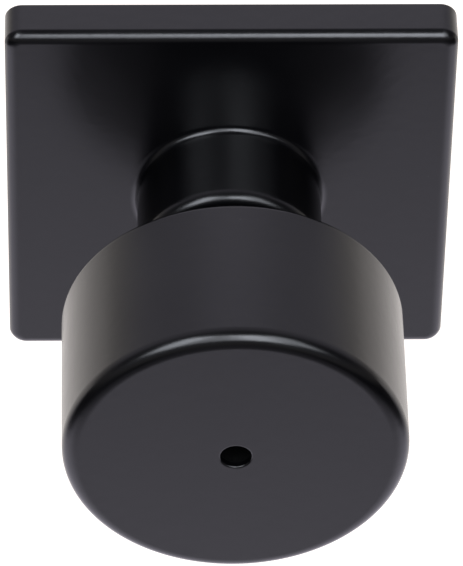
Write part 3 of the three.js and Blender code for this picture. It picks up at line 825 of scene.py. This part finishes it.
def make_ring(node, inner, edge=0.1, sides=MEDIUM):
    """A plain ring: its outer size and its ends from the CAD box, its bore as given."""
    size = Extent(node)
    outline = rounded([
        (inner, size.back, edge),
        (size.radius, size.back, edge),
        (size.radius, size.front, edge),
        (inner, size.front, edge),
    ])
    install(turned(f"{node}_look", outline, sides), node)


def make_wave_washer():
    """Thin ring pressed into three waves."""
    node = "wave_washer"
    size = Extent(node)
    sheet = 0.3
    wave = 0.28
    middle = (size.back + size.front) / 2
    outline = rounded([
        (9.2, middle - sheet / 2, 0.05),
        (size.radius, middle - sheet / 2, 0.05),
        (size.radius, middle + sheet / 2, 0.05),
        (9.2, middle + sheet / 2, 0.05),
    ])
    piece = turned(f"{node}_look", outline)
    for vertex in piece.data.vertices:
        angle = math.atan2(vertex.co.z, vertex.co.x)
        vertex.co.y -= wave * MM * math.cos(3 * angle)
    install(piece, node)


# ---------------------------------------------------------------------------------------------------
# Knob
# ---------------------------------------------------------------------------------------------------


def make_knob_shell():
    size = Extent("knob_shell")
    inner = size.radius - SHELL_WALL
    behind = size.front - SHELL_WALL
    outline = rounded([
        (RELEASE_HOLE, size.front, RELEASE_HOLE_EDGE),
        (RELEASE_HOLE, behind, 0.1),
        (inner, behind, DRUM_EDGE - SHELL_WALL),
        (inner, size.back, 0.05),
        (size.radius, size.back, DRUM_BACK_EDGE),
        (size.radius, size.front, DRUM_EDGE),
    ], steps=12)
    install(turned("knob_shell_look", outline, FINE), "knob_shell")


def make_knob_back():
    size = Extent("knob_back")
    bore = NECK_RADIUS + 0.3
    outline = rounded([
        (bore, size.back, 0.2),
        (size.radius, size.back, 0.35),
        (size.radius, size.front, 0.2),
        (bore, size.front, 0.2),
    ])
    install(turned("knob_back_look", outline, FINE), "knob_back")


def pin_hole(pin, radius, start, end):
    """A tool for a hole along the across direction, at that pin."""
    size = Extent(pin)
    return lying(cutter(circle(radius, SMALL), start, end), (size.back + size.front) / 2)


def make_knob_core():
    size = Extent("knob_core")
    bore = NECK_RADIUS + 0.2
    sleeve = 14.0
    shoulder = 49.8
    outline = rounded([
        (bore, size.back, 0.3),
        (sleeve, size.back, 0.6),
        (sleeve, shoulder - 1.3, 1.5),
        (size.radius, size.front - 2.2, 0.8),
        (size.radius, size.front, 0.4),
        (4.7, size.front, 0.3),
        (4.7, shoulder, 0.3),
        (bore, shoulder, 0.3),
    ])
    piece = turned("knob_core_look", outline, MEDIUM)
    hole = pin_hole("core_pin_right", CORE_PIN_HOLE, -THROUGH, THROUGH)
    install(combined(piece, [hole], "DIFFERENCE"), "knob_core")


def make_knob_neck():
    """Turned tube: the smooth barrel in front, and a tail with two flats and the groove of the snap ring."""
    size = Extent("knob_neck")
    ring = Extent("retaining_ring")
    seat = 7.6
    outline = rounded([
        (SOCKET_BORE, size.back, 0.2),
        (NECK_TAIL, size.back, 0.3),
        (NECK_TAIL, ring.back - 0.15, 0.05),
        (seat, ring.back - 0.15, 0.05),
        (seat, ring.front + 0.1, 0.05),
        (NECK_TAIL, ring.front + 0.1, 0.05),
        (NECK_TAIL, NECK_STEP, 0.2),
        (NECK_RADIUS, NECK_STEP, 0.2),
        (NECK_RADIUS, size.front, 0.3),
        (GUIDE_BORE, size.front, 0.3),
        (GUIDE_BORE, GUIDE_SHOULDER, 0.1),
        (SOCKET_BORE, GUIDE_SHOULDER, 0.1),
    ], steps=4, support=0.03)
    piece = turned("knob_neck_look", outline, FINE)
    tools = []
    for side in (-1, 1):
        near, far = side * NECK_FLAT, side * 2 * NECK_TAIL
        flat = ((near, -THROUGH), (far, -THROUGH), (far, THROUGH), (near, THROUGH))
        tools.append(cutter(flat, size.back - 1, NECK_FLATS_END))
    tools.append(pin_hole("core_pin_right", CORE_PIN_HOLE, -THROUGH, THROUGH))
    tools.append(pin_hole("spindle_pin", SPINDLE_PIN_HOLE, 0, THROUGH))
    install(combined(piece, tools, "DIFFERENCE"), "knob_neck")


def make_drive_cam():
    """Disc with a stop lug, keyed on the neck's two flats."""
    size = Extent("drive_cam")
    play = 0.15
    lug = size.top
    outer = arc((0, 0), lug, 90 - LUG_HALF_ANGLE, 90 + LUG_HALF_ANGLE, 8)
    outer += arc((0, 0), CAM_RADIUS, 90 + LUG_HALF_ANGLE, 450 - LUG_HALF_ANGLE, MEDIUM)
    reach = math.degrees(math.acos((NECK_FLAT + play) / (NECK_TAIL + play)))
    keyed = arc((0, 0), NECK_TAIL + play, reach, 180 - reach, 32)
    keyed += arc((0, 0), NECK_TAIL + play, 180 + reach, 360 - reach, 32)
    holes = [keyed, circle(LEG_HOLE, SMALL, (0, COIL_RADIUS))]
    install(plate("drive_cam_look", outer, holes, size.back, size.front, edge=0.1), "drive_cam")


def open_ring(name, inner, outer, opening, back, front, edge=0.06):
    """A flat ring with a gap at the bottom of the given half angle in degrees."""
    start, end = opening - 90, 270 - opening
    outline = arc((0, 0), outer, start, end, MEDIUM) + arc((0, 0), inner, end, start, MEDIUM)
    return plate(name, outline, [], back, front, edge=edge)


def make_retaining_ring():
    """Snap ring with an eye at each end for the pliers."""
    node = "retaining_ring"
    size = Extent(node)
    opening = 22
    eye_circle = 9.9
    piece = open_ring(f"{node}_look", 7.75, 10.6, opening, size.back, size.front)
    for angle in (opening - 90, 270 - opening):
        centre = arc((0, 0), eye_circle, angle, angle, 1)[0]
        eye = turned_solid("tool", rounded([
            (0, size.back, 0),
            (1.5, size.back, 0.06),
            (1.5, size.front, 0.06),
            (0, size.front, 0),
        ]), SMALL, centre)
        combined(piece, [eye], "UNION")
        hole = cutter(circle(0.6, SMALL, centre), size.back - 1, size.front + 1)
        combined(piece, [hole], "DIFFERENCE")
    install(piece, node)


def square_tube(name, outer_side, outer_corner, inner_side, inner_corner, back, front, edge):
    """A tube between two rounded squares, with rounded rims."""
    gap = (outer_side - inner_side) / 2
    corners = [(gap, back, edge), (gap, front, edge), (0, front, edge), (0, back, edge)]
    outline = rounded(corners, support=0.02)
    outer = rounded_square(outer_side, outer_corner, 8, 4)
    inner = rounded_square(inner_side, inner_corner, 8, 4)
    rings = []
    for share, out in outline:
        ring = [Vector(near).lerp(Vector(far), share / gap) for near, far in zip(inner, outer)]
        rings.append([(*point, out) for point in ring])
    return loft(name, rings)


def make_spindle():
    node = "spindle"
    size = Extent(node)
    side = 2 * size.radius
    bore = side - 2 * SPINDLE_WALL
    piece = square_tube(f"{node}_look", side, 0.6, bore, 0.3, size.back, size.front, 0.15)
    hole = pin_hole("spindle_pin", SPINDLE_PIN_HOLE, 0, THROUGH)
    install(combined(piece, [hole], "DIFFERENCE"), node)


def make_spindle_socket():
    """Plug in the end of the neck with a square hole for the spindle."""
    node = "spindle_socket"
    size = Extent(node)
    outline = rounded([
        (0, size.back, 0),
        (size.radius, size.back, 0.25),
        (size.radius, size.front, 0.25),
        (0, size.front, 0),
    ])
    piece = turned_solid(f"{node}_look", outline, MEDIUM)
    hole = 2 * Extent("spindle").radius + 0.3
    tools = [cutter(rounded_square(hole, 0.3, 6, 2), size.back - 1, size.front + 1)]
    tools.append(pin_hole("spindle_pin", SPINDLE_PIN_HOLE, 0, THROUGH))
    install(combined(piece, tools, "DIFFERENCE"), node)


def make_return_spring():
    """Torsion spring: a leg in the case, the coils and a leg in the cam's lug. In the real lock it winds as
    the knob turns; here it is drawn at rest and moves with no body.
    """
    node = "return_spring"
    size = Extent(node)
    bend_angle = COIL_BEND / COIL_RADIUS
    bend_steps = 8
    sweep = COIL_TURNS * 4 * QUARTER - 2 * bend_angle
    turns_steps = round(COIL_TURNS * SMALL)

    def at(angle, out):
        return row(COIL_RADIUS * math.cos(angle), COIL_RADIUS * math.sin(angle), out) / MM

    points = [at(-QUARTER, size.back), at(-QUARTER, size.back + 0.1)]
    for step in range(bend_steps):
        angle = QUARTER * step / bend_steps
        swing = bend_angle * (1 - math.cos(angle))
        points.append(at(swing - QUARTER, COIL_BACK - COIL_BEND * (1 - math.sin(angle))))
    for step in range(turns_steps + 1):
        share = step / turns_steps
        out = COIL_BACK + (COIL_FRONT - COIL_BACK) * share
        points.append(at(bend_angle - QUARTER + sweep * share, out))
    for step in reversed(range(bend_steps)):
        angle = QUARTER * step / bend_steps
        swing = bend_angle * (1 - math.cos(angle))
        points.append(at(QUARTER - swing, COIL_FRONT + COIL_BEND * (1 - math.sin(angle))))
    points += [at(QUARTER, size.front - 0.1), at(QUARTER, size.front)]
    piece = wire(f"{node}_look", [(point.x, point.z, -point.y) for point in points], COIL_WIRE)
    install(piece, node, rides=False)
    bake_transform(piece)


# ---------------------------------------------------------------------------------------------------
# Emergency release
# ---------------------------------------------------------------------------------------------------


def make_release_guide():
    """Plastic tube behind the hole, with a flange that sits on the neck's shoulder."""
    node = "release_guide"
    size = Extent(node)
    tube = 4.4
    bore = 2.75
    rod_hole = ROD_RADIUS + 0.25
    flange_back = GUIDE_SHOULDER + 0.3
    outline = rounded([
        (rod_hole, size.back, 0.1),
        (tube, size.back, 0.3),
        (tube, flange_back, 0.2),
        (size.radius, flange_back, 0.3),
        (size.radius, flange_back + 2, 0.3),
        (tube, flange_back + 2, 0.4),
        (tube, size.front, 0.2),
        (bore, size.front, 0.2),
        (bore, size.back + 1.5, 0.15),
        (rod_hole, size.back + 1.5, 0.1),
    ])
    install(turned(f"{node}_look", outline), node)


def make_release_rod():
    node = "release_rod"
    size = Extent(node)
    stop = Extent("release_stop")
    groove = 1.1
    outline = rounded([
        (0, size.back, 0),
        (ROD_RADIUS, size.back, 0.4),
        (ROD_RADIUS, stop.back - 0.1, 0.04),
        (groove, stop.back - 0.1, 0.04),
        (groove, stop.front + 0.1, 0.04),
        (ROD_RADIUS, stop.front + 0.1, 0.04),
        (ROD_RADIUS, size.front, 0.2),
        (0, size.front, 0),
    ], support=0.03)
    install(turned_solid(f"{node}_look", outline, SMALL), node)


def make_release_head():
    """Cap on the rod, with a cone in its face that centres the tip of the release tool."""
    node = "release_head"
    size = Extent(node)
    bore = ROD_RADIUS + 0.15
    bore_end = Extent("release_rod").front + 0.2
    outline = rounded([
        (0, bore_end, 0),
        (bore, bore_end, 0.1),
        (bore, size.back, 0.1),
        (size.radius, size.back, 0.2),
        (size.radius, size.front, 0.35),
        (1.6, size.front, 0.1),
        (0, size.front - 0.9, 0),
    ])
    install(turned_solid(f"{node}_look", outline, SMALL), node)


def make_release_stop():
    node = "release_stop"
    size = Extent(node)
    outer = (size.right - size.left) / 2
    install(open_ring(f"{node}_look", 1.22, outer, 35, size.back, size.front, edge=0.04), node)


def make_release_spring():
    """Compression spring between the guide's floor and the head, with closed end turns."""
    node = "release_spring"
    size = Extent(node)
    steps = RELEASE_TURNS * 40
    back = size.back + RELEASE_WIRE
    travel = size.front - size.back - 2 * RELEASE_WIRE
    points = []
    for step in range(steps + 1):
        share = step / steps
        angle = 4 * QUARTER * RELEASE_TURNS * share
        eased = share - math.sin(4 * QUARTER * share) / 14
        across = RELEASE_COIL_RADIUS * math.cos(angle)
        points.append((across, RELEASE_COIL_RADIUS * math.sin(angle), back + travel * eased))
    piece = install(wire(f"{node}_look", points, RELEASE_WIRE, 12), node)
    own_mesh(piece)


# ---------------------------------------------------------------------------------------------------
# Studio
# ---------------------------------------------------------------------------------------------------


def toward(azimuth, elevation):
    """The direction from the object to that azimuth and elevation. Azimuth 0 is straight in front."""
    level = math.cos(elevation)
    return Vector((math.sin(azimuth) * level, -math.cos(azimuth) * level, math.sin(elevation)))


def make_camera():
    target = row(*CAMERA_TARGET)
    back = toward(CAMERA_AZIMUTH, CAMERA_ELEVATION)
    camera = bpy.data.objects.new("camera", bpy.data.cameras.new("camera"))
    camera.data.sensor_fit = "VERTICAL"
    camera.data.sensor_height = CAMERA_SENSOR
    camera.data.lens = CAMERA_LENS
    camera.data.clip_start = 0.01
    level = back.to_track_quat("Z", "Y").to_matrix().to_4x4()
    roll = Matrix.Rotation(CAMERA_ROLL, 4, "Z")
    camera.matrix_world = Matrix.Translation(target + back * CAMERA_DISTANCE * MM) @ level @ roll
    bpy.context.scene.collection.objects.link(camera)
    bpy.context.scene.camera = camera


def make_softbox(name, azimuth, elevation, width, height, radiance):
    """A rectangular light of that brightness, a fixed distance from the object and facing it."""
    light = bpy.data.objects.new(name, bpy.data.lights.new(name, "AREA"))
    light.data.shape = "RECTANGLE"
    light.data.size = width
    light.data.size_y = height
    light.data.color = SOFTBOX_TINT
    light.data.energy = radiance * math.pi * width * height
    back = toward(math.radians(azimuth), math.radians(elevation))
    light.location = row(*CAMERA_TARGET) + back * SOFTBOX_DISTANCE
    light.rotation_euler = back.to_track_quat("Z", "Y").to_euler()
    light.visible_camera = False
    bpy.context.scene.collection.objects.link(light)


class Glow:
    """Nodes for the strength of a white surround that looks pure white but lights the object unevenly."""

    def __init__(self, tree, coordinate):
        self.nodes = tree.nodes
        self.links = tree.links
        split = self.nodes.new("ShaderNodeSeparateXYZ")
        self.links.new(self.nodes.new("ShaderNodeTexCoord").outputs[coordinate], split.inputs[0])
        self.across, self.back, self.up = split.outputs

    def maths(self, operation, *values):
        node = self.nodes.new("ShaderNodeMath")
        node.operation = operation
        for socket, value in zip(node.inputs, values):
            if isinstance(value, (int, float)):
                socket.default_value = value
            else:
                self.links.new(value, socket)
        return node.outputs[0]

    def ramp(self, value, start, end, low=0.0, high=1.0):
        """A smooth step from low at start to high at end."""
        node = self.nodes.new("ShaderNodeMapRange")
        node.interpolation_type = "SMOOTHSTEP"
        self.links.new(value, node.inputs[0])
        for socket, number in zip(node.inputs[1:5], (start, end, low, high)):
            socket.default_value = number
        return node.outputs[0]

    def tint(self, warmth):
        """From the cool tint of the light to the warm one."""
        node = self.nodes.new("ShaderNodeMix")
        node.data_type = "RGBA"
        self.links.new(warmth, node.inputs["Factor"])
        node.inputs[6].default_value = (*COOL_TINT, 1)
        node.inputs[7].default_value = (*WARM_TINT, 1)
        return node.outputs[2]

    def white_when_seen(self, strength):
        seen = self.nodes.new("ShaderNodeLightPath").outputs["Is Camera Ray"]
        return self.maths("MAXIMUM", strength, self.maths("MULTIPLY", seen, SEEN_WHITE))


def make_surround():
    """A white wall behind the object, lower at the sides, with a dim ceiling and a darker front."""
    world = bpy.data.worlds.new("studio")
    bpy.context.scene.world = world
    world.use_nodes = True
    glow = Glow(world.node_tree, "Generated")
    background = glow.nodes["Background"]
    glow.links.new(glow.tint(glow.ramp(glow.up, *WALL_WARM)), background.inputs["Color"])
    sideways = glow.maths("MULTIPLY", glow.maths("MULTIPLY", glow.across, glow.across), WALL_SIDE)
    height = glow.maths("ADD", glow.up, sideways)
    wall = glow.ramp(height, *WALL_TOP, WALL_BRIGHT, CEILING_BRIGHT)
    behind = glow.maths("MULTIPLY", wall, glow.ramp(glow.back, *SURROUND_EDGE))
    front = glow.ramp(glow.up, *FRONT_TOP, FRONT_BRIGHT, FRONT_DARK)
    glow.links.new(glow.white_when_seen(glow.maths("MAXIMUM", behind, front)), background.inputs["Strength"])


def make_floor():
    """A plain white floor, too far below to take a shadow, that lights the object less from the front."""
    mesh = bmesh.new()
    corners = ((-1, -1), (1, -1), (1, 1), (-1, 1))
    mesh.faces.new([mesh.verts.new((x * FLOOR_HALF, y * FLOOR_HALF, FLOOR_HEIGHT)) for x, y in corners])
    floor = new_piece("floor", mesh)
    material = bpy.data.materials.new("floor")
    material.use_nodes = True
    glow = Glow(material.node_tree, "Object")
    front = glow.ramp(glow.back, *FLOOR_FRONT, FLOOR_FRONT_FAR)
    side = glow.ramp(glow.maths("ABSOLUTE", glow.across), *FLOOR_SIDE)
    behind = glow.ramp(glow.back, *FLOOR_BEHIND)
    strength = glow.maths("MULTIPLY", front, glow.maths("MAXIMUM", side, behind))
    surface = glow.nodes["Principled BSDF"]
    surface.inputs["Base Color"].default_value = (0, 0, 0, 1)
    surface.inputs["Specular IOR Level"].default_value = 0
    glow.links.new(glow.tint(behind), surface.inputs["Emission Color"])
    brightness = glow.ramp(glow.back, *FLOOR_FALLOFF, FLOOR_BRIGHT, FLOOR_FAR)
    strength = glow.maths("MULTIPLY", strength, brightness)
    glow.links.new(glow.white_when_seen(strength), surface.inputs["Emission Strength"])
    floor.data.materials.append(material)


# ---------------------------------------------------------------------------------------------------
# Assembly
# ---------------------------------------------------------------------------------------------------


def make_object():
    make_rose_cover()
    make_mounting_plate()
    make_bearing_tube()
    make_spring_case()
    for node in ("front_bushing", "rear_bushing"):
        make_ring(node, NECK_RADIUS + 0.15)
    make_ring("thrust_washer", NECK_TAIL + 0.2)
    make_wave_washer()
    for end in ("top", "bottom"):
        make_case_screw(end)
    for side in ("left", "right"):
        make_mounting_post(side)
        make_pin(f"stop_pin_{side}")
        make_cover_clip(side)
        make_clip_rivet(side)
        make_lying_pin(f"core_pin_{side}")
    make_lying_pin("spindle_pin")
    make_knob_shell()
    make_knob_back()
    make_knob_core()
    make_knob_neck()
    make_drive_cam()
    make_retaining_ring()
    make_spindle()
    make_spindle_socket()
    make_return_spring()
    make_release_guide()
    make_release_rod()
    make_release_head()
    make_release_stop()
    make_release_spring()


make_object()
make_camera()
make_surround()
make_floor()
make_softbox("softbox_left", azimuth=-45, elevation=45, width=0.46, height=0.72, radiance=6.2)
make_softbox("softbox_front", azimuth=-15, elevation=45, width=0.70, height=0.72, radiance=2.5)
make_softbox("softbox_right", azimuth=16, elevation=45, width=0.40, height=0.72, radiance=7.5)
make_softbox("softbox_side", azimuth=44, elevation=45, width=0.36, height=0.72, radiance=3.8)
bpy.context.scene.view_settings.view_transform = "Standard"
